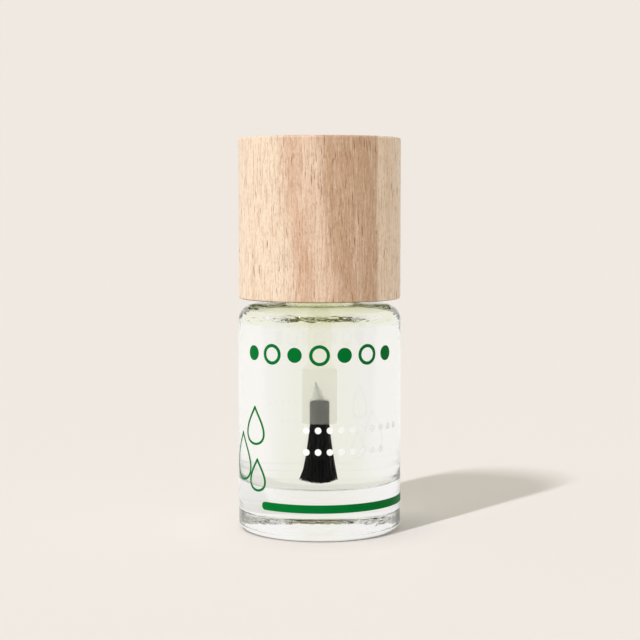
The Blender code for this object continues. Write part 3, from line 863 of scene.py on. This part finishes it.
def make_stem():
    """Stud, flange, collar, rod and socket turned about Z. The air left above the bristles is a
    cone whose tip leans to one side as a share of its height."""
    outline = densify(rounded([
        (0, STUD_TOP),
        (STUD_RADIUS, STUD_TOP, 0.15),
        (STUD_RIDGE_RADIUS, STUD_TOP - 0.35, 0.1),
        (STUD_RIDGE_RADIUS, STUD_TOP - 0.6, 0.1),
        (STUD_RADIUS, STUD_TOP - 0.9, 0.1),
        (STUD_RADIUS, FLANGE_TOP, 0.15),
        (WASHER_RADIUS, FLANGE_TOP, 0.2),
        (WASHER_RADIUS, FLANGE_FOOT, 0.2),
        (COLLAR_RADIUS, FLANGE_FOOT, 0.1),
        (COLLAR_RADIUS, WASHER_FOOT, 0.3),
        (ROD_RADIUS, WASHER_FOOT - 1.5, 0.5),
        (ROD_RADIUS, SOCKET_TOP + 1.3, 0.8),
        (SOCKET_RADIUS, SOCKET_TOP, 0.8),
        (SOCKET_RADIUS, SOCKET_MOUTH, 0.2),
        (TUFT_BORE, SOCKET_MOUTH, 0.12),
        (TUFT_BORE, VOID_FOOT - 0.1, 0.25),
        (VOID_RADIUS, VOID_FOOT + 0.05, 0.12),
        (0, VOID_TIP),
    ]), spacing=1.0)
    points = placed(*turned_grid(outline, sides=96))
    mouth = int(np.argmin(np.where(outline[:, 0] < TUFT_BORE + 0.3, outline[:, 1], np.inf)))
    in_void = (np.arange(len(outline)) > mouth) & (outline[:, 1] > VOID_FOOT)
    lean = np.where(in_void, VOID_SKEW * (outline[:, 1] - VOID_FOOT) / (VOID_TIP - VOID_FOOT), 0)
    points[..., 0] += lean[:, None] * MM
    in_socket = outline[:, 1] < SOCKET_TOP + 0.1
    finish = np.where(in_void[1:] | in_void[:-1], 2, np.where(in_socket[1:] & in_socket[:-1], 1, 0))
    plastics = [clear_rod, cloudy_socket, cloudy_void]
    return add_piece("stem", [(points[None], False, finish)], plastics)


def tubes(paths, radius, sides=5):
    """Closed tubes along (strands, points, 3) paths: rings of radius round each point, square to
    the way ahead, and a point at each end."""
    ahead = np.gradient(paths, axis=1)
    ahead /= np.linalg.norm(ahead, axis=2)[..., None]
    across = np.cross(ahead, np.broadcast_to([1.0, 0.0, 0.0], ahead.shape))
    across /= np.linalg.norm(across, axis=2)[..., None]
    third = np.cross(ahead, across)
    angle = np.linspace(0, math.tau, sides, endpoint=False)[None, None, :, None]
    rings = paths[:, :, None] + radius[..., None, None] * (
        np.cos(angle) * across[:, :, None] + np.sin(angle) * third[:, :, None])
    first = np.broadcast_to(paths[:, :1, None], rings[:, :1].shape)
    last = np.broadcast_to(paths[:, -1:, None], rings[:, -1:].shape)
    return np.concatenate([first, rings, last], axis=1)


def make_bristles():
    """Hairpins folded over the wire. Leg places fill a half circle as sqrt(share) and the golden
    angle; below the socket they lean out as level^FLARE_POWER to the flared tip, more to the left
    near the end, and are cut to a rough dome. A few stray."""
    random = np.random.default_rng(20)
    number = np.arange(2 * HAIRPINS)
    share = np.sqrt((number + 0.5) / len(number))
    turn = number * math.pi * (3 - math.sqrt(5))
    spots = np.stack([share * np.cos(turn), share * np.sin(turn)], axis=1)
    front = spots[spots[:, 1] < 0][:HAIRPINS]
    back = spots[spots[:, 1] >= 0][:HAIRPINS]
    count = min(len(front), len(back))
    packed = TUFT_RADIUS - BRISTLE_RADIUS

    def in_order(spots):
        """Spots by distance from the middle in steps of 0.1, and each step from left to right."""
        return spots[np.lexsort((spots[:, 0], np.round(np.linalg.norm(spots, axis=1), 1)))]

    def leg(spots):
        """Points down each leg, from beside the wire to its cut tip."""
        reach = np.linalg.norm(spots, axis=1)
        stray = random.random(count) < STRAY_SHARE
        wider = 1 + random.normal(0, 0.05, count) + 0.35 * stray * reach
        flare = (TUFT_TIP_RADIUS / packed - 1) * wider
        tip = TUFT_TIP + 0.06 + TIP_DOME * reach ** 2 + random.normal(0, 0.10, count)
        tip = tip + np.where(stray, random.uniform(-0.25, 0.9, count), 0)
        tip = np.maximum(tip, TUFT_TIP)
        drift = random.normal(0, 0.10, (count, 2))
        level = np.array([0.0, 0.0, 0.12, 0.28, 0.46, 0.64, 0.82, 1.0])[None, :]
        rows = SOCKET_MOUTH + (tip[:, None] - SOCKET_MOUTH) * level
        rows[:, 0] = WIRE_TOP - 1.2
        widen = 1 + flare[:, None] * level ** FLARE_POWER
        left = np.clip(-spots[:, :1], 0, 1) * smooth_step(level, 0.80, 1.0) * LEFT_BEND
        x = packed * spots[:, :1] * widen + drift[:, :1] * level ** 2 - left
        y = packed * spots[:, 1:] * widen + drift[:, 1:] * level ** 2
        return np.stack([x, y, rows], axis=2)

    front, back = in_order(front[:count]), in_order(back[:count])
    front_leg, back_leg = leg(front), leg(back)
    across = packed * (front[:, 1] - back[:, 1])
    arch = np.linspace(0, math.pi, 9)[None, 1:-1]
    rise = 0.06 + 0.36 * np.abs(across[:, None]) / (2 * packed)
    middle = (front_leg[:, 0] + back_leg[:, 0]) / 2
    half = (front_leg[:, 0] - back_leg[:, 0]) / 2
    top = WIRE_TOP - 0.05
    fold_x = middle[:, :1] + half[:, :1] * np.cos(arch)
    fold_y = middle[:, 1:2] + half[:, 1:2] * np.cos(arch)
    fold_z = top + (rise + 0.05) * np.sin(arch)
    fold = np.stack([fold_x, fold_y, fold_z], axis=2)
    paths = np.concatenate([front_leg[:, ::-1], fold, back_leg], axis=1)
    radius = np.full(paths.shape[:2], BRISTLE_RADIUS)
    radius[:, [0, -1]] *= 0.55
    shells = tubes(paths, radius) * MM
    return add_piece("bristles", [(shells, False, 0)], [black_nylon], sharp_angle=60)


glass = make_glass()
oil = make_oil()
green_print, white_print = make_prints()
cap = make_cap()
insert = make_insert()
washer = make_washer()
stem = make_stem()
bristles = make_bristles()

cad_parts["tuft_anchor"].material_slots[0].material = drawn_wire

for piece, body, node, slot in (
    (glass, "bottle", "glass_bottle", "glass"),
    (oil, "bottle", "cuticle_oil", "oil"),
    (green_print, "bottle", None, None),
    (white_print, "bottle", None, None),
    (cap, "closure", "wooden_overcap", "wood"),
    (insert, "closure", "screw_insert", "insert_plastic"),
    (washer, "seal", "sealing_washer", "washer_foam"),
    (stem, "closure", "brush_stem", "stem_plastic"),
    (bristles, "closure", "brush_tuft", "bristles"),
):
    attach(piece, body)
    if node:
        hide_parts(node)


# Stage, light and camera

BACKDROP = (0.871, 0.815, 0.761)
FAR_WALL = (0.905, 0.890, 0.835, 1)
LEFT_WALL = (0.905, 0.893, 0.893, 1)
RIGHT_WALL = (0.945, 0.930, 0.925, 1)
NEAR_WALL = (0.60, 0.60, 0.56, 1)
DARK_WALL = (0.05, 0.05, 0.05, 1)
MIRRORED_FLOOR = (0.96, 0.96, 0.94, 1)
BLACK = (0, 0, 0, 1)
FILL = 0.67
FILL_LEAN = 0.45
FILL_BLUE = 0.94
KEY_COLOUR = (0.90, 0.90, 1.0)
KEY = 0.33
KEY_ELEVATION = 50.3
KEY_AZIMUTH = 38.0
KEY_SIZE = 1.6
KEY_LAMPS = 9
KEY_HALF_HEIGHT = 3.6

# Floor: half its width in metres; its glow, fade and darkening in millimetres from the axis
FLOOR_HALF_WIDTH = 6.0
FLOOR_LIT_SHARE = 0.40
FLOOR_GLOW = 0.20
FLOOR_GLOW_MOST = 0.14
FLOOR_GLOW_LEFT_SHARE = 0.5
FLOOR_GLOW_RADIUS = 18.0
FLOOR_FADE = (500.0, 1500.0)
FLOOR_DARKENING = (-8.0, -70.0)

# Camera: its place in metres, its tilt down in degrees, its lens and sensor in millimetres
CAMERA_PLACE = (0.00007, -0.280, 0.0573)
CAMERA_TILT = 4.37
CAMERA_LENS = 91.8
CAMERA_SENSOR = 36


def room_colour(tree, sideways):
    """What glass shows behind the bottle, for how far the way there points to the right, from -1 to
    1: a duller middle between paler sides, the right one palest."""
    sides = mixed(tree, spread(tree, sideways, -0.3, 0.3), LEFT_WALL, RIGHT_WALL)
    return mixed(tree, spread(tree, calc(tree, "ABSOLUTE", sideways), 0.06, 0.40), FAR_WALL, sides)


def make_floor():
    """A pale sheet that carries the shadow. It grows lighter towards the bottle, less so on the
    left, to make up for the fill that the bottle takes away there, and it gives way to the backdrop
    far off. Glass rays see it in the room's colour, most of it a painted glow, so that its shadow
    looks weaker through the glass. Mirror rays see it dark on the camera's side, like the world."""
    reach = FLOOR_HALF_WIDTH
    mesh = bpy.data.meshes.new("floor")
    corners = [(-reach, -reach, 0), (reach, -reach, 0), (reach, reach, 0), (-reach, reach, 0)]
    mesh.from_pydata(corners, [], [(0, 1, 2, 3)])
    material, tree, shader = new_material("pale_floor", Roughness=0.9, Specular_IOR_Level=0.0,
                                          Emission_Strength=1.0)
    place = position(tree)
    spot = stretched(tree)
    away = put(tree, "ShaderNodeVectorMath", {0: spot}, operation="LENGTH").outputs["Value"]
    sideways = calc(tree, "DIVIDE", place["X"], away)
    share = calc(tree, "POWER", calc(tree, "DIVIDE", FLOOR_GLOW_RADIUS, away), 1.5)
    lift = calc(tree, "MINIMUM", calc(tree, "MULTIPLY", share, FLOOR_GLOW), FLOOR_GLOW_MOST)
    side_share = spread(tree, sideways, -0.7, 0.7, FLOOR_GLOW_LEFT_SHARE, 1.0)
    lift = calc(tree, "ADD", 1.0, calc(tree, "MULTIPLY", lift, side_share))
    room = room_colour(tree, sideways)
    mirrored = mixed(tree, spread(tree, place["Y"], *FLOOR_DARKENING), MIRRORED_FLOOR, DARK_WALL)

    path = put(tree, "ShaderNodeLightPath").outputs
    through = path["Is Transmission Ray"]
    mirror = calc(tree, "MULTIPLY", path["Is Glossy Ray"], path["Is Reflection Ray"])
    gone = calc(tree, "MULTIPLY", spread(tree, away, *FLOOR_FADE), path["Is Camera Ray"])
    tone = mixed(tree, through, scaled(tree, BACKDROP, lift), scaled(tree, room, FLOOR_LIT_SHARE))
    tone = mixed(tree, mirror, tone, mirrored)
    tone = mixed(tree, gone, tone, BLACK)
    # Painted glow: glass rays see most of the floor's tone as emission, which weakens its shadow
    glow = mixed(tree, through, BLACK, scaled(tree, room, 1 - FLOOR_LIT_SHARE))
    glow = mixed(tree, gone, glow, (*BACKDROP, 1))
    feed(tree, shader, Base_Color=tone, Emission_Color=glow)
    mesh.materials.append(material)
    add_object("floor", mesh)


def make_world():
    """Soft fill that is stronger from the left. Camera rays see the backdrop; glass rays a pale
    room that is duller behind the camera; mirror rays the same room with a dark camera side."""
    world = bpy.data.worlds.new("studio")
    world.use_nodes = True
    bpy.context.scene.world = world
    tree = world.node_tree
    way = put(tree, "ShaderNodeTexCoord").outputs["Generated"]
    direction = put(tree, "ShaderNodeSeparateXYZ", {0: way}).outputs
    room = room_colour(tree, direction["X"])
    near = spread(tree, direction["Y"], 0.0, -0.9)
    path = put(tree, "ShaderNodeLightPath").outputs
    through = mixed(tree, near, room, NEAR_WALL)
    mirrored = mixed(tree, near, room, DARK_WALL)
    shown = mixed(tree, path["Is Reflection Ray"], through, mirrored)
    shown = mixed(tree, path["Is Camera Ray"], shown, (*BACKDROP, 1))
    seen = calc(tree, "MAXIMUM", path["Is Glossy Ray"], path["Is Transmission Ray"])
    seen = calc(tree, "MAXIMUM", seen, path["Is Camera Ray"])
    level = spread(tree, direction["X"], 1.0, -1.0, FILL * (1 - FILL_LEAN), FILL * (1 + FILL_LEAN))
    inputs = {"Red": level, "Green": level, "Blue": calc(tree, "MULTIPLY", level, FILL_BLUE)}
    fill = put(tree, "ShaderNodeCombineColor", inputs).outputs[0]
    background = tree.nodes["Background"]
    tree.links.new(mixed(tree, seen, fill, shown), background.inputs["Color"])
    background.inputs["Strength"].default_value = 1.0


def make_key():
    """A tall, narrow lamp far off to the front left, as a column of small ones: its shadow has
    sharp sides and fades towards its end."""
    for index, part in enumerate(np.linspace(-1, 1, KEY_LAMPS)):
        elevation = KEY_ELEVATION + part * KEY_HALF_HEIGHT
        lamp = bpy.data.lights.new(f"key_{index}", "SUN")
        lamp.energy = KEY / KEY_COLOUR[0] / KEY_LAMPS * math.pi / math.sin(math.radians(elevation))
        lamp.color = KEY_COLOUR
        lamp.angle = math.radians(KEY_SIZE)
        key = add_object(f"key_{index}", lamp)
        key.rotation_euler = (math.radians(90 - elevation), 0, math.radians(-KEY_AZIMUTH))


def make_camera():
    camera = bpy.data.cameras.new("camera")
    camera.sensor_width = CAMERA_SENSOR
    camera.lens = CAMERA_LENS
    camera.clip_start = 0.01
    eye = add_object("camera", camera)
    eye.location = CAMERA_PLACE
    eye.rotation_euler = (math.radians(90 - CAMERA_TILT), 0, 0)
    bpy.context.scene.camera = eye


make_floor()
make_world()
make_key()
make_camera()
scene = bpy.context.scene
scene.view_settings.view_transform = "Standard"
scene.cycles.max_bounces = 32
scene.cycles.transmission_bounces = 32
scene.cycles.glossy_bounces = 16
